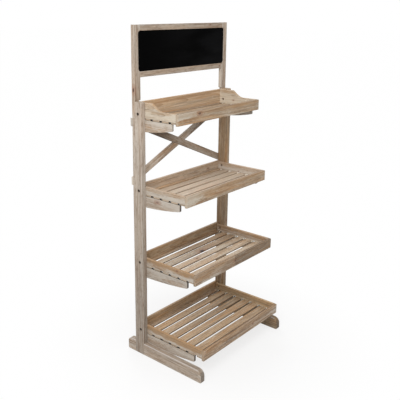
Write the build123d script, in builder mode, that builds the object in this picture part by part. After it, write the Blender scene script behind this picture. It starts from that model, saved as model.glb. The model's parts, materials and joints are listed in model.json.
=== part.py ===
from build123d import *
from math import atan2, cos
import os

# A display shelf of washed wood: two posts on floor boards, four slatted trays that get deeper
# towards the floor, a crossed brace behind the top two trays and a framed chalkboard on top.
# Lengths are in millimetres. X runs from left to right, Y from front to back and Z up.
# The origin is on the floor, midway between the posts and midway along the feet.

# Every board
edge_radius = 1.5
fit_clearance = 0.05
cut_overrun = 1.0

# Posts and feet
overall_width = 610.0
frame_thickness = 25.0
post_depth = 50.0
post_head = 80.0
post_nose_radius = 6.0
foot_length = 423.0
foot_height = 55.0
foot_rear_overhang = 47.0
foot_toe_radius = 28.0
foot_heel_radius = 18.0
foot_sole_radius = 5.0
halving_share = 0.5

# Trays
tier_count = 4
lowest_tray_height = 90.0
tray_spacing = 322.5
top_tray_inner_slats = 3
panel_thickness = 12.0
lip_height = 46.0
lip_drop = 5.5
lip_corner_radius = 4.0
back_panel_rise = 4.0
slat_thickness = 7.0
slat_width = 38.75
slat_gap = 10.0
slat_end_inset = 2.0
rear_slat_width = 30.0
front_slat_width = 26.25
crest_drop = 4.5
crest_length = 86.0
crest_fall_run = 38.0
crest_corner_radius = 4.0
crest_foot_radius = 60.0

# Back panels that stand higher, by tray, and by how much
taller_back_panels = {3: 3.0, 4: 3.5}

# Slats that are narrower at their rear edge, by tray and place from the back, and by how much
narrower_slats = {(3, 0): 7.0, (3, 2): 4.0, (3, 4): 3.5, (4, 0): 2.5, (4, 2): 3.5, (4, 5): 2.0}

# Arms under the trays
arm_thickness = 12.0
arm_rear_depth = 51.0
arm_tip_depth = 29.0
arm_tip_radius = 4.0
arm_reach_share = 0.86

# Header
header_gap = 94.5
header_height = 206.0
header_member_width = 34.0
header_depth = 17.0
tongue_length = 66.0
shoulder_gap = 2.0
shoulder_radius = 5.0
rebate_width = 11.0
rebate_depth = 6.0
rebate_corner_radius = 13.0
board_thickness = 3.5
board_clearance = 0.3

# Crossed brace
brace_width = 30.5
brace_thickness = 10.0
brace_low_rise = 62.5
brace_stagger = 8.4

# Bolts and sleeve nuts that hold the trays to the posts
bolt_head_diameter = 10.0
bolt_head_height = 2.5
bolt_crown_radius = 1.0
bolt_shank_diameter = 5.0
bolt_thread_length = 12.0
bolt_head_recess = 0.8
bolt_inset = 32.0
bolt_rise = 31.5
counterbore_diameter = 11.0
nut_head_height = 2.0
sleeve_diameter = 7.0
sleeve_length = 18.0
sleeve_bore_depth = 14.0
socket_size = 3.0
socket_depth = 1.5

# Wood screws
screw_head_diameter = 8.0
screw_head_height = 2.5
screw_diameter = 4.0
screw_point_length = 4.0
frame_screw_length = 30.0
foot_screw_length = 20.0
screw_slot_length = 4.0
screw_slot_width = 0.9
screw_slot_depth = 1.2
arm_screw_insets = (14.0, 36.0)
arm_screw_drops = (34.0, 14.0)
tongue_screw_shares = (0.45, 0.8)
foot_screw_depth_shares = (0.3, 0.7)
foot_screw_height_shares = (0.62, 0.3)

# Nails and dowels
nail_length = 25.0
nail_diameter = 1.8
nail_head_diameter = 3.0
nail_head_height = 0.8
nail_point_length = 2.0
slat_nail_inset = 4.5
corner_nail_inset = 8.0
corner_nail_shares = (0.3, 0.75)
dowel_diameter = 6.0
dowel_length = 40.0
dowel_chamfer = 0.8
dowel_end_gap = 0.5
dowel_spread = 16.0

# Places that the sizes above give
top_tray_height = lowest_tray_height + (tier_count - 1) * tray_spacing
post_height = top_tray_height + post_head
header_bottom = post_height + header_gap
header_top = header_bottom + header_height
brace_high_height = top_tray_height
brace_low_height = top_tray_height - tray_spacing + brace_low_rise
half_width = overall_width / 2
inner_half_width = half_width - frame_thickness
posts_rear = foot_length / 2 - foot_rear_overhang
posts_front = posts_rear - post_depth
halving_depth = frame_thickness * halving_share
tray_half_width = inner_half_width
slat_half_width = tray_half_width - slat_end_inset
side_inner_half_width = tray_half_width - panel_thickness
arm_inner_half_width = tray_half_width - arm_thickness
header_front = posts_rear - header_depth
tongue_foot = post_height - tongue_length
stile_inner_half_width = half_width - header_member_width
braces_rear = posts_rear + brace_thickness

# Directions that fasteners are driven in
RIGHT = (1, 0, 0)
LEFT = (-1, 0, 0)
FORWARD = (0, -1, 0)
BACK = (0, 1, 0)
UP = (0, 0, 1)


class Tier:
    """The places of one tray and its fasteners. Tier 1 is the top one, with the shallowest tray."""

    def __init__(self, number):
        self.number = number
        self.is_top = number == 1
        self.bottom = lowest_tray_height + (tier_count - number) * tray_spacing
        self.slat_bottom = self.bottom + lip_drop
        self.slat_top = self.slat_bottom + slat_thickness
        self.rim = self.bottom + lip_height
        self.crest = post_height - crest_drop if self.is_top else self.rim
        rise = back_panel_rise + taller_back_panels.get(number, 0.0)
        self.back_top = self.crest if self.is_top else self.rim + rise
        self.inner_slats = top_tray_inner_slats + number - 1
        self.inner_slat_fronts = [
            posts_rear - rear_slat_width - (i + 1) * (slat_width + slat_gap)
            for i in range(self.inner_slats)
        ]
        self.inner_slat_widths = [
            slat_width - narrower_slats.get((number, i), 0.0) for i in range(self.inner_slats)
        ]
        self.front_slat_rear = self.inner_slat_fronts[-1] - slat_gap
        self.lip_rear = self.front_slat_rear - front_slat_width
        self.front = self.lip_rear - panel_thickness
        self.depth = posts_rear - self.front
        self.side_rear = posts_rear - panel_thickness

    def bolt(self):
        """Where the bolt's head goes in, on the left post's outer face."""
        spot = (-half_width, posts_rear - bolt_inset, self.bottom + bolt_rise)
        return [driven(spot, RIGHT)]

    def sleeve_nut(self):
        """Where the nut goes in, on the inner face of the left tray side."""
        spot = (-side_inner_half_width, posts_rear - bolt_inset, self.bottom + bolt_rise)
        return [driven(spot, LEFT)]

    def arm_screws(self):
        """Two screws through the left arm into the post."""
        return [
            driven((-arm_inner_half_width, posts_rear - inset, self.slat_bottom - drop), LEFT)
            for inset, drop in zip(arm_screw_insets, arm_screw_drops)
        ]

    def slat_nail(self, front, width):
        """One nail up through the left end of a slat into the tray side."""
        return [driven((slat_nail_inset - tray_half_width, front + width / 2, self.slat_bottom), UP)]

    def rear_slat_nail(self):
        """The rear slat's nail, in the part of the slat that the side stands on."""
        return self.slat_nail(posts_rear - rear_slat_width, rear_slat_width - panel_thickness)

    def front_slat_nail(self):
        return self.slat_nail(self.lip_rear, front_slat_width)

    def inner_slat_nails(self):
        places = []
        for front, width in zip(self.inner_slat_fronts, self.inner_slat_widths):
            places += self.slat_nail(front, width)
        return places

    def corner_nails(self, face, top, direction):
        """Two nails through the left end of a panel into the end of the tray side."""
        height = top - self.slat_top
        return [
            driven((corner_nail_inset - tray_half_width, face, self.slat_top + share * height), direction)
            for share in corner_nail_shares
        ]

    def back_nails(self):
        return self.corner_nails(posts_rear, self.crest, FORWARD)

    def lip_nails(self):
        return self.corner_nails(self.front, self.rim, BACK)


def driven(spot, direction):
    """The place of a fastener whose head's face is at the spot, driven in the direction."""
    return Plane(origin=spot, z_dir=direction)


def across(places):
    """The same places on the right-hand side."""
    return [
        Plane(origin=(-place.origin.X, place.origin.Y, place.origin.Z),
              z_dir=(-place.z_dir.X, place.z_dir.Y, place.z_dir.Z))
        for place in places
    ]


def both_sides(places):
    return places + across(places)


def box_between(low, high, mode=Mode.ADD):
    """A box from its lowest to its highest corner."""
    with Locations(low):
        Box(high[0] - low[0], high[1] - low[1], high[2] - low[2], align=(Align.MIN,) * 3, mode=mode)


def ease_around(axis):
    """Round the outline edges of the faces that are square to the axis."""
    fillet(faces().filter_by(axis).edges(), edge_radius)


def bore(hole, places):
    """Cut one hole shape at every place."""
    with Locations(*places):
        add(hole, mode=Mode.SUBTRACT)


def set_of(fastener, places):
    """A group of like fasteners, one at every place."""
    with BuildPart() as group:
        with Locations(*places):
            add(fastener)
    return group


def mirrored(left_piece):
    """The right-hand piece of a pair."""
    with BuildPart() as right_piece:
        mirror(left_piece.part, about=Plane.YZ)
    return right_piece


def save(piece, name):
    piece.part.label = name
    export_step(piece.part, f"parts/{name}.step")


# Fasteners and the holes that they sit in. Each shape lies along +Z with its head's face at zero.


def turned(radius_and_reach):
    """A turned shape from its outline's points, each a radius and a distance along the axis."""
    with BuildPart() as shape:
        with BuildSketch(Plane.XZ):
            with BuildLine():
                Polyline((0, 0), *radius_and_reach, close=True)
            make_face()
        revolve(axis=Axis.Z)
    return shape.part


def screw_shape(length, clearance=0.0):
    """A countersunk wood screw with a point, or with a clearance the hole for one."""
    shank = screw_diameter / 2 + clearance
    end = length + clearance
    return turned([
        (screw_head_diameter / 2 + clearance, 0),
        (shank, screw_head_height),
        (shank, end - screw_point_length),
        (0, end),
    ])


def wood_screw(length):
    with BuildPart() as screw:
        add(screw_shape(length))
        for slot_x, slot_y in ((screw_slot_length, screw_slot_width), (screw_slot_width, screw_slot_length)):
            Box(slot_x, slot_y, 2 * screw_slot_depth, mode=Mode.SUBTRACT)
    return screw.part


def nail_shape(clearance=0.0):
    """A thin nail with a small flat head, or with a clearance the hole for one."""
    head = nail_head_diameter / 2 + clearance
    shank = nail_diameter / 2 + clearance
    end = nail_length + clearance
    return turned([
        (head, 0),
        (head, nail_head_height),
        (shank, nail_head_height),
        (shank, end - nail_point_length),
        (0, end),
    ])


def tray_bolt():
    """A bolt with a low round head and a hexagon socket, sunk just below the wood."""
    grip = frame_thickness + panel_thickness
    sleeve_mouth = grip - bolt_head_recess - nut_head_height - sleeve_length
    underhead = bolt_head_recess + bolt_head_height
    with BuildPart() as bolt:
        with BuildSketch(Plane.XY.offset(bolt_head_recess)):
            Circle(bolt_head_diameter / 2)
        extrude(amount=bolt_head_height)
        fillet(edges().group_by(Axis.Z)[0], bolt_crown_radius)
        with BuildSketch(Plane.XY.offset(underhead)):
            Circle(bolt_shank_diameter / 2)
        extrude(amount=sleeve_mouth + bolt_thread_length - underhead)
        with BuildSketch(Plane.XY.offset(bolt_head_recess)):
            RegularPolygon(socket_size / 2, 6, major_radius=False)
        extrude(amount=socket_depth, mode=Mode.SUBTRACT)
    return bolt.part


def sleeve_nut():
    """A nut with a long closed sleeve that the bolt screws into."""
    underhead = bolt_head_recess + nut_head_height
    mouth = underhead + sleeve_length
    with BuildPart() as nut:
        with BuildSketch(Plane.XY.offset(bolt_head_recess)):
            Circle(bolt_head_diameter / 2)
        extrude(amount=nut_head_height)
        fillet(edges().group_by(Axis.Z)[0], bolt_crown_radius)
        with BuildSketch(Plane.XY.offset(underhead)):
            Circle(sleeve_diameter / 2)
        extrude(amount=sleeve_length)
        with BuildSketch(Plane.XY.offset(mouth)):
            Circle(bolt_shank_diameter / 2 + fit_clearance)
        extrude(amount=-sleeve_bore_depth, mode=Mode.SUBTRACT)
        with BuildSketch(Plane.XY.offset(bolt_head_recess)):
            RegularPolygon(socket_size / 2, 6, major_radius=False)
        extrude(amount=socket_depth, mode=Mode.SUBTRACT)
    return nut.part


def bolt_hole(head_height):
    """A counterbore for a head, with a hole for the sleeve right through the post and side."""
    counterbore = counterbore_diameter / 2
    sleeve = sleeve_diameter / 2 + fit_clearance
    underhead = bolt_head_recess + head_height
    grip = frame_thickness + panel_thickness
    return turned([
        (counterbore, 0),
        (counterbore, underhead),
        (sleeve, underhead),
        (sleeve, grip),
        (0, grip),
    ])


def dowel_shape(clearance=0.0, end_gap=0.0):
    """A dowel with chamfered ends, or with a clearance its hole. Its middle is at zero."""
    with BuildPart() as dowel:
        with BuildSketch():
            Circle(dowel_diameter / 2 + clearance)
        extrude(amount=dowel_length / 2 + end_gap, both=True)
        chamfer(edges().filter_by(GeomType.CIRCLE), dowel_chamfer)
    return dowel.part


# Feet and posts


def make_left_foot():
    """A board on edge with rounded ends, cut back in its outer half for the post."""
    toe = -foot_length / 2
    heel = foot_length / 2
    with BuildPart() as foot:
        with BuildSketch(Plane.YZ.offset(-half_width)):
            with BuildLine():
                FilletPolyline(
                    (heel, 0), (toe, 0), (toe, foot_height), (heel, foot_height), close=True,
                    radius=[foot_sole_radius, foot_sole_radius, foot_toe_radius, foot_heel_radius],
                )
            make_face()
        extrude(amount=frame_thickness)
        ease_around(Axis.X)
        box_between(
            (-half_width - cut_overrun, posts_front, -cut_overrun),
            (-half_width + halving_depth, posts_rear, foot_height + cut_overrun),
            mode=Mode.SUBTRACT,
        )
        bore(foot_screw_hole, foot_screw_places)
    return foot


def make_left_post():
    """An upright whose outer half runs down to the floor in the foot's halving."""
    with BuildPart() as post:
        with BuildSketch(Plane.YZ.offset(-half_width)):
            with BuildLine():
                FilletPolyline(
                    (posts_rear, 0), (posts_front, 0), (posts_front, post_height), (posts_rear, post_height),
                    close=True, radius=[0, 0, post_nose_radius, 0],
                )
            make_face()
        extrude(amount=frame_thickness)
        ease_around(Axis.X)
        box_between(
            (-half_width + halving_depth, posts_front - cut_overrun, -cut_overrun),
            (-inner_half_width + cut_overrun, posts_rear + cut_overrun, foot_height),
            mode=Mode.SUBTRACT,
        )
        box_between(
            (-half_width - cut_overrun, header_front, tongue_foot),
            (-inner_half_width + cut_overrun, posts_rear + cut_overrun, post_height + cut_overrun),
            mode=Mode.SUBTRACT,
        )
        bore(foot_screw_hole, foot_screw_places)
        bore(frame_screw_hole, tongue_screw_places)
        bore(frame_screw_hole, left_brace_screw_places)
        for tier in tiers:
            bore(bolt_hole(bolt_head_height), tier.bolt())
            bore(frame_screw_hole, tier.arm_screws())
    return post


# Trays


def make_left_arm(tier):
    """A bracket under the slat ends, deep at the post and curved up to its tip."""
    tip = posts_rear - arm_reach_share * tier.depth
    with BuildPart() as arm:
        with BuildSketch(Plane.YZ.offset(-tray_half_width)):
            with BuildLine():
                belly = TangentArc(
                    (posts_rear, tier.slat_bottom - arm_rear_depth),
                    (tip, tier.slat_bottom - arm_tip_depth),
                    tangent=(-1, 0),
                )
                Polyline(belly @ 1, (tip, tier.slat_bottom), (posts_rear, tier.slat_bottom), belly @ 0)
            make_face()
            fillet(vertices().sort_by_distance((tip, tier.slat_bottom - arm_tip_depth))[0], arm_tip_radius)
        extrude(amount=arm_thickness)
        ease_around(Axis.X)
        bore(frame_screw_hole, tier.arm_screws())
    return arm


def make_left_side(tier):
    """A low panel on the slat ends; the top tray's slopes up to a crest at the back."""
    with BuildPart() as side:
        with BuildSketch(Plane.YZ.offset(-tray_half_width)):
            with BuildLine():
                if tier.is_top:
                    crest_end = posts_rear - crest_length
                    FilletPolyline(
                        (tier.lip_rear, tier.rim), (tier.lip_rear, tier.slat_top),
                        (tier.side_rear, tier.slat_top), (tier.side_rear, tier.crest),
                        (crest_end, tier.crest), (crest_end - crest_fall_run, tier.rim),
                        close=True, radius=[0, 0, 0, 0, crest_corner_radius, crest_foot_radius],
                    )
                else:
                    Polyline(
                        (tier.lip_rear, tier.rim), (tier.lip_rear, tier.slat_top),
                        (tier.side_rear, tier.slat_top), (tier.side_rear, tier.rim), close=True,
                    )
            make_face()
        extrude(amount=panel_thickness)
        ease_around(Axis.X)
        bore(bolt_hole(nut_head_height), tier.sleeve_nut())
        bore(nail_hole, tier.rear_slat_nail() + tier.inner_slat_nails() + tier.front_slat_nail())
        bore(nail_hole, tier.back_nails() + tier.lip_nails())
    return side


def make_back_panel(tier):
    with BuildPart() as panel:
        box_between(
            (-tray_half_width, tier.side_rear, tier.slat_top),
            (tray_half_width, posts_rear, tier.back_top),
        )
        ease_around(Axis.Y)
        bore(nail_hole, both_sides(tier.back_nails()))
    return panel


def make_front_lip(tier):
    """The board across the tray's front, which hides the slats' thickness and has rounded top corners."""
    with BuildPart() as lip:
        box_between(
            (-tray_half_width, tier.front, tier.bottom),
            (tray_half_width, tier.lip_rear, tier.rim),
        )
        fillet(edges().filter_by(Axis.Y).group_by(Axis.Z)[-1], lip_corner_radius)
        ease_around(Axis.Y)
        bore(nail_hole, both_sides(tier.lip_nails()))
    return lip


def make_slats(tier, fronts, widths, nails):
    """The slats at the given places, with a nail hole at each end."""
    with BuildPart() as slats:
        for front, width in zip(fronts, widths):
            box_between(
                (-slat_half_width, front, tier.slat_bottom),
                (slat_half_width, front + width, tier.slat_top),
            )
        ease_around(Axis.Z)
        bore(nail_hole, both_sides(nails))
    return slats


# Header


def draw_board(inset=0.0):
    """The outline of the rebate that the chalkboard lies in, or of the board, which is a little less."""
    with Locations(board_centre):
        RectangleRounded(
            board_opening_width - 2 * inset,
            board_opening_height - 2 * inset,
            rebate_corner_radius - inset,
        )


def make_left_stile():
    """An upright of the header frame, with a narrower tongue let into the back of the post."""
    shoulder = post_height + shoulder_gap
    with BuildPart() as stile:
        with BuildSketch(Plane.XZ.offset(-posts_rear)):
            with BuildLine():
                FilletPolyline(
                    (-half_width, tongue_foot), (-inner_half_width, tongue_foot),
                    (-inner_half_width, shoulder), (-stile_inner_half_width, shoulder),
                    (-stile_inner_half_width, header_top), (-half_width, header_top),
                    close=True, radius=[0, 0, 0, shoulder_radius, 0, 0],
                )
            make_face()
        extrude(amount=header_depth)
        ease_around(Axis.Y)
        with BuildSketch(rebate_floor):
            draw_board()
        extrude(amount=rebate_depth, mode=Mode.SUBTRACT)
        for bottom in rail_bottoms:
            bore(dowel_hole, left_dowel_places(bottom))
        bore(frame_screw_hole, tongue_screw_places)
    return stile


def make_header_rail(bottom):
    with BuildPart() as rail:
        box_between(
            (-stile_inner_half_width, header_front, bottom),
            (stile_inner_half_width, posts_rear, bottom + header_member_width),
        )
        ease_around(Axis.Y)
        with BuildSketch(rebate_floor):
            draw_board()
        extrude(amount=rebate_depth, mode=Mode.SUBTRACT)
        bore(dowel_hole, both_sides(left_dowel_places(bottom)))
    return rail


def left_dowel_places(bottom):
    """Two dowels across the joint of a rail and the left stile, behind the rebate."""
    depth = (posts_rear + header_front + rebate_depth) / 2
    middle = bottom + header_member_width / 2
    return [
        driven((-stile_inner_half_width, depth, middle + side * dowel_spread / 2), RIGHT)
        for side in (-1, 1)
    ]


def make_chalkboard():
    """A thin board on the rebate's floor, set back a little from the frame's face."""
    with BuildPart() as board:
        with BuildSketch(rebate_floor):
            draw_board(board_clearance)
        extrude(amount=board_thickness)
    return board


# Crossed brace


def brace_height_at(x, left_height, right_height):
    """The height of a brace's centre line at a place across the shelf."""
    return left_height + (right_height - left_height) * (x + half_width) / overall_width


def draw_brace(left_height, right_height):
    """A sloping batten's outline, cut off plumb at the posts' outer faces."""
    half_cut = brace_width / 2 / cos(atan2(right_height - left_height, overall_width))
    Polygon(
        (-half_width, left_height - half_cut), (half_width, right_height - half_cut),
        (half_width, right_height + half_cut), (-half_width, left_height + half_cut),
        align=None,
    )


def make_brace(heights, crossing_heights, lap_face, screw_places):
    """A batten on the posts' backs, halved where the other one crosses it."""
    with BuildPart() as brace:
        with BuildSketch(Plane.XZ.offset(-braces_rear)):
            draw_brace(*heights)
        extrude(amount=brace_thickness)
        ease_around(Axis.Y)
        with BuildSketch(Plane.XZ.offset(-lap_face)):
            draw_brace(*crossing_heights)
        extrude(amount=brace_thickness * halving_share, mode=Mode.SUBTRACT)
        bore(frame_screw_hole, screw_places)
    return brace


def brace_screw_places(heights):
    """One screw at each end of a brace, into the middle of the post. Both posts' screws are level."""
    post_middle = half_width - frame_thickness / 2
    return [
        driven((x, braces_rear, brace_height_at(x, *heights)), FORWARD)
        for x in (-post_middle, post_middle)
    ]


# Places that several pieces share

tiers = [Tier(number) for number in range(1, tier_count + 1)]
falling_screw_heights = (brace_high_height, brace_low_height)
rising_screw_heights = (brace_low_height, brace_high_height)
falling_heights = [height - brace_stagger / 2 for height in falling_screw_heights]
rising_heights = [height + brace_stagger / 2 for height in rising_screw_heights]
falling_screw_places = brace_screw_places(falling_screw_heights)
rising_screw_places = brace_screw_places(rising_screw_heights)
left_brace_screw_places = [falling_screw_places[0], rising_screw_places[0]]
foot_screw_places = [
    driven((-inner_half_width, posts_rear - back_share * post_depth, up_share * foot_height), LEFT)
    for back_share, up_share in zip(foot_screw_depth_shares, foot_screw_height_shares)
]
tongue_screw_places = [
    driven((-half_width + frame_thickness / 2, posts_rear, tongue_foot + share * tongue_length), FORWARD)
    for share in tongue_screw_shares
]
rail_bottoms = (header_top - header_member_width, header_bottom)
board_opening_width = 2 * (stile_inner_half_width + rebate_width)
board_opening_low = header_bottom + header_member_width - rebate_width
board_opening_high = header_top - header_member_width + rebate_width
board_opening_height = board_opening_high - board_opening_low
board_centre = (0, (board_opening_low + board_opening_high) / 2)
rebate_floor = Plane.XZ.offset(-(header_front + rebate_depth))

frame_screw_hole = screw_shape(frame_screw_length, fit_clearance)
foot_screw_hole = screw_shape(foot_screw_length, fit_clearance)
nail_hole = nail_shape(fit_clearance)
dowel_hole = dowel_shape(fit_clearance, dowel_end_gap)

# The pieces, each in a file of its own

os.makedirs("parts", exist_ok=True)


def save_pair(left_piece, name):
    """Write a left-hand piece and its mirrored twin; the name has a place for the side."""
    save(left_piece, name.format("left"))
    save(mirrored(left_piece), name.format("right"))


save_pair(make_left_foot(), "{}_foot")
save_pair(make_left_post(), "{}_post")
save_pair(make_left_stile(), "header_{}_stile")
for rail_name, rail_bottom in zip(("header_top_rail", "header_bottom_rail"), rail_bottoms):
    save(make_header_rail(rail_bottom), rail_name)
save(make_chalkboard(), "chalkboard")
falling_brace = make_brace(falling_heights, rising_heights, braces_rear, falling_screw_places)
brace_lap_face = posts_rear + brace_thickness * halving_share
rising_brace = make_brace(rising_heights, falling_heights, brace_lap_face, rising_screw_places)
save(falling_brace, "falling_brace")
save(rising_brace, "rising_brace")

for tier in tiers:
    tray = f"tier_{tier.number}"
    save_pair(make_left_arm(tier), tray + "_{}_arm")
    save_pair(make_left_side(tier), tray + "_{}_side")
    save(make_back_panel(tier), f"{tray}_back_panel")
    save(make_front_lip(tier), f"{tray}_front_lip")
    rear_slat = make_slats(tier, [posts_rear - rear_slat_width], [rear_slat_width], tier.rear_slat_nail())
    deck_slats = make_slats(tier, tier.inner_slat_fronts, tier.inner_slat_widths, tier.inner_slat_nails())
    front_slat = make_slats(tier, [tier.lip_rear], [front_slat_width], tier.front_slat_nail())
    save(rear_slat, f"{tray}_rear_slat")
    save(deck_slats, f"{tray}_deck_slats")
    save(front_slat, f"{tray}_front_slat")

bolts = sum((tier.bolt() for tier in tiers), [])
sleeve_nuts = sum((tier.sleeve_nut() for tier in tiers), [])
frame_screws = sum((tier.arm_screws() for tier in tiers), tongue_screw_places + left_brace_screw_places)
nails = sum(
    (
        tier.rear_slat_nail() + tier.inner_slat_nails() + tier.front_slat_nail()
        + tier.back_nails() + tier.lip_nails()
        for tier in tiers
    ),
    [],
)
dowels = sum((left_dowel_places(bottom) for bottom in rail_bottoms), [])

save(set_of(tray_bolt(), both_sides(bolts)), "tray_bolts")
save(set_of(sleeve_nut(), both_sides(sleeve_nuts)), "sleeve_nuts")
save(set_of(wood_screw(frame_screw_length), both_sides(frame_screws)), "frame_screws")
save(set_of(wood_screw(foot_screw_length), both_sides(foot_screw_places)), "foot_screws")
save(set_of(nail_shape(), both_sides(nails)), "nails")
save(set_of(dowel_shape(), both_sides(dowels)), "header_dowels")
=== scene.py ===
import json
import math
import random

import bpy
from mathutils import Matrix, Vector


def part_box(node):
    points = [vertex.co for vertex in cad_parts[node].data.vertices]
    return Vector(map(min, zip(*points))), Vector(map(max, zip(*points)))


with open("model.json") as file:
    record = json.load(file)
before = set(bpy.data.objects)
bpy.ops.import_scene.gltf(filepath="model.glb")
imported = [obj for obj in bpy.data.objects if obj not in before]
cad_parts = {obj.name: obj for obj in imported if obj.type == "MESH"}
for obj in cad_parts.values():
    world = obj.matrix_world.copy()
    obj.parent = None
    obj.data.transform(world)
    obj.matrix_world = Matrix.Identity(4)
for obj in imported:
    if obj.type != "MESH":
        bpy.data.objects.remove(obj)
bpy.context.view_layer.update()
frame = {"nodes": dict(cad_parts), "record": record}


# Colours

# The sRGB curve: a straight foot up to a level, and a power with an offset above it
FOOT_LEVEL = 0.04045
FOOT_SLOPE = 12.92
CURVE_OFFSET = 0.055
CURVE_POWER = 2.4
FULL_LEVEL = 255


def paint(red, green, blue):
    """A colour read as 0 to 255 in sRGB, given as Blender's linear one."""
    linear = []
    for level in (red, green, blue):
        share = level / FULL_LEVEL
        curved = ((share + CURVE_OFFSET) / (1 + CURVE_OFFSET)) ** CURVE_POWER
        linear.append(share / FOOT_SLOPE if share < FOOT_LEVEL else curved)
    return (*linear, 1.0)


PALE_WOOD = paint(177, 154, 129)
DARK_RING = paint(132, 104, 79)
# Veins in the wood, and the painted shade on the rear of a lip's top edge
VEIN_AND_SHADE_BROWN = paint(104, 78, 56)
TAN_PATCH = paint(176, 134, 92)
WORN_TAN = paint(156, 121, 82)
GREY_STREAK = paint(138, 128, 117)
WHITE_WASH = paint(192, 183, 171)
WEATHERED = paint(178, 169, 158)
END_GRAIN = paint(150, 132, 112)
# Painted shade on ends, edges and gaps, painted light at the gap ends, and a painted highlight on a foot's
# upper edges
DARK_TIP = paint(62, 50, 41)
EDGE_SHADE = paint(96, 72, 52)
DARK_GAP = paint(40, 31, 24)
PAINTED_GAP_LIGHT = paint(232, 224, 210)
ARRIS_HIGHLIGHT = paint(196, 187, 180)
KNOT_HEART = paint(50, 33, 27)
KNOT_HALO = paint(140, 92, 66)
SPECK = paint(66, 52, 42)
BOLT_STAIN = paint(70, 50, 36)
DOWEL_WOOD = paint(196, 168, 130)
DOWEL_FIBRE = paint(160, 126, 88)
BOARD_BLACK = paint(1, 1, 1)
# Chalk dust, and a painted sheen
CHALK_DUST_AND_SHEEN = paint(18, 18, 19)
DARK_STEEL = paint(36, 29, 24)
DARK_STEEL_WORN = paint(66, 56, 48)
NUT_BRONZE = paint(104, 84, 70)
NUT_BRONZE_WORN = paint(140, 120, 104)
ZINC = paint(178, 177, 174)
ZINC_DULL = paint(140, 139, 136)


# Shader maths

# The level that noise has on average
AVERAGE = 0.5

# A Mix node's sockets for colours, told by their numbers because other sockets have the same names
MIX_SHARE = 0
MIX_FIRST = 6
MIX_SECOND = 7
MIX_RESULT = 2


class Value:
    """What one socket gives over a surface. Arithmetic on it adds Math nodes."""

    def __init__(self, tree, socket):
        self.tree = tree
        self.socket = socket

    def math(self, operation, *numbers):
        return self.tree.add("ShaderNodeMath", {"operation": operation}, dict(enumerate(numbers)))

    def __add__(self, other):
        return self.math("ADD", self, other)

    def __sub__(self, other):
        return self.math("SUBTRACT", self, other)

    def __rsub__(self, other):
        return self.math("SUBTRACT", other, self)

    def __mul__(self, other):
        return self.math("MULTIPLY", self, other)

    def __truediv__(self, other):
        return self.math("DIVIDE", self, other)

    def __pow__(self, other):
        return self.math("POWER", self, other)

    def __abs__(self):
        return self.math("ABSOLUTE", self)

    __radd__ = __add__
    __rmul__ = __mul__

    def fraction(self):
        return self.math("FRACT", self)

    def floor(self):
        return self.math("FLOOR", self)

    def least(self, other):
        return self.math("MINIMUM", self, other)

    def most(self, other):
        return self.math("MAXIMUM", self, other)

    def past(self, limit):
        """1 beyond the limit and 0 before it."""
        return self.math("GREATER_THAN", self, limit)

    def rise(self, low, high):
        """Goes smoothly from 0 at low to 1 at high."""
        settings = {"interpolation_type": "SMOOTHSTEP"}
        levels = {"Value": self, "From Min": low, "From Max": high}
        return self.tree.add("ShaderNodeMapRange", settings, levels)

    def fall(self, low, high):
        """Goes smoothly from 1 at low to 0 at high."""
        return 1 - self.rise(low, high)

    def between(self, none, full):
        """Goes smoothly from 0 at none to 1 at full, whichever of the two is higher."""
        return self.rise(none, full) if none < full else self.fall(full, none)


def highest(values):
    """The highest of some values at each spot."""
    top, *others = values
    for other in others:
        top = top.most(other)
    return top


class Tree:
    """The nodes of one material or of the world."""

    def __init__(self, owner):
        owner.use_nodes = True
        self.nodes = owner.node_tree.nodes
        self.links = owner.node_tree.links

    def add(self, kind, settings=None, inputs=None, output=0):
        """Adds a node, makes its settings, then gives its sockets their values or links."""
        node = self.nodes.new(kind)
        for name, setting in (settings or {}).items():
            setattr(node, name, setting)
        for name, value in (inputs or {}).items():
            self.feed(node.inputs[name], value)
        return Value(self, node.outputs[output])

    def feed(self, socket, value):
        if isinstance(value, Value):
            self.links.new(value.socket, socket)
        else:
            socket.default_value = value

    def mix(self, share, first, second):
        """Lays the second colour over the first."""
        inputs = {MIX_SHARE: share, MIX_FIRST: first, MIX_SECOND: second}
        return self.add("ShaderNodeMix", {"data_type": "RGBA"}, inputs, MIX_RESULT)

    def vector(self, operation, *inputs, output="Vector"):
        settings = {"operation": operation}
        return self.add("ShaderNodeVectorMath", settings, dict(enumerate(inputs)), output)

    def brighten(self, colour, factor):
        return self.add("ShaderNodeVectorMath", {"operation": "SCALE"}, {0: colour, "Scale": factor})

    def length(self, vector):
        return self.vector("LENGTH", vector, output="Value")

    def split(self, vector):
        """The three numbers of a vector."""
        parts = self.add("ShaderNodeSeparateXYZ", None, {"Vector": vector})
        return [Value(self, socket) for socket in parts.socket.node.outputs]

    def turned(self, vector, turn, middle=(0.0, 0.0, 0.0)):
        """A vector from the middle, told in the axes of something that has this turn."""
        inputs = {"Vector": vector, "Location": middle, "Rotation": turn}
        return self.add("ShaderNodeMapping", {"vector_type": "TEXTURE"}, inputs)

    def noise(self, place, grains, start, detail):
        """Noise between 0 and 1 with about this many grains per metre on each axis."""
        spot = self.vector("MULTIPLY_ADD", place, grains, start)
        return self.add("ShaderNodeTexNoise", None, {"Vector": spot, "Scale": 1.0, "Detail": detail})

    def object_place(self):
        return self.add("ShaderNodeTexCoord", output="Object")

    def object_normal(self):
        return self.add("ShaderNodeTexCoord", output="Normal")


BUMP_STRENGTH = 0.6


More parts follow.
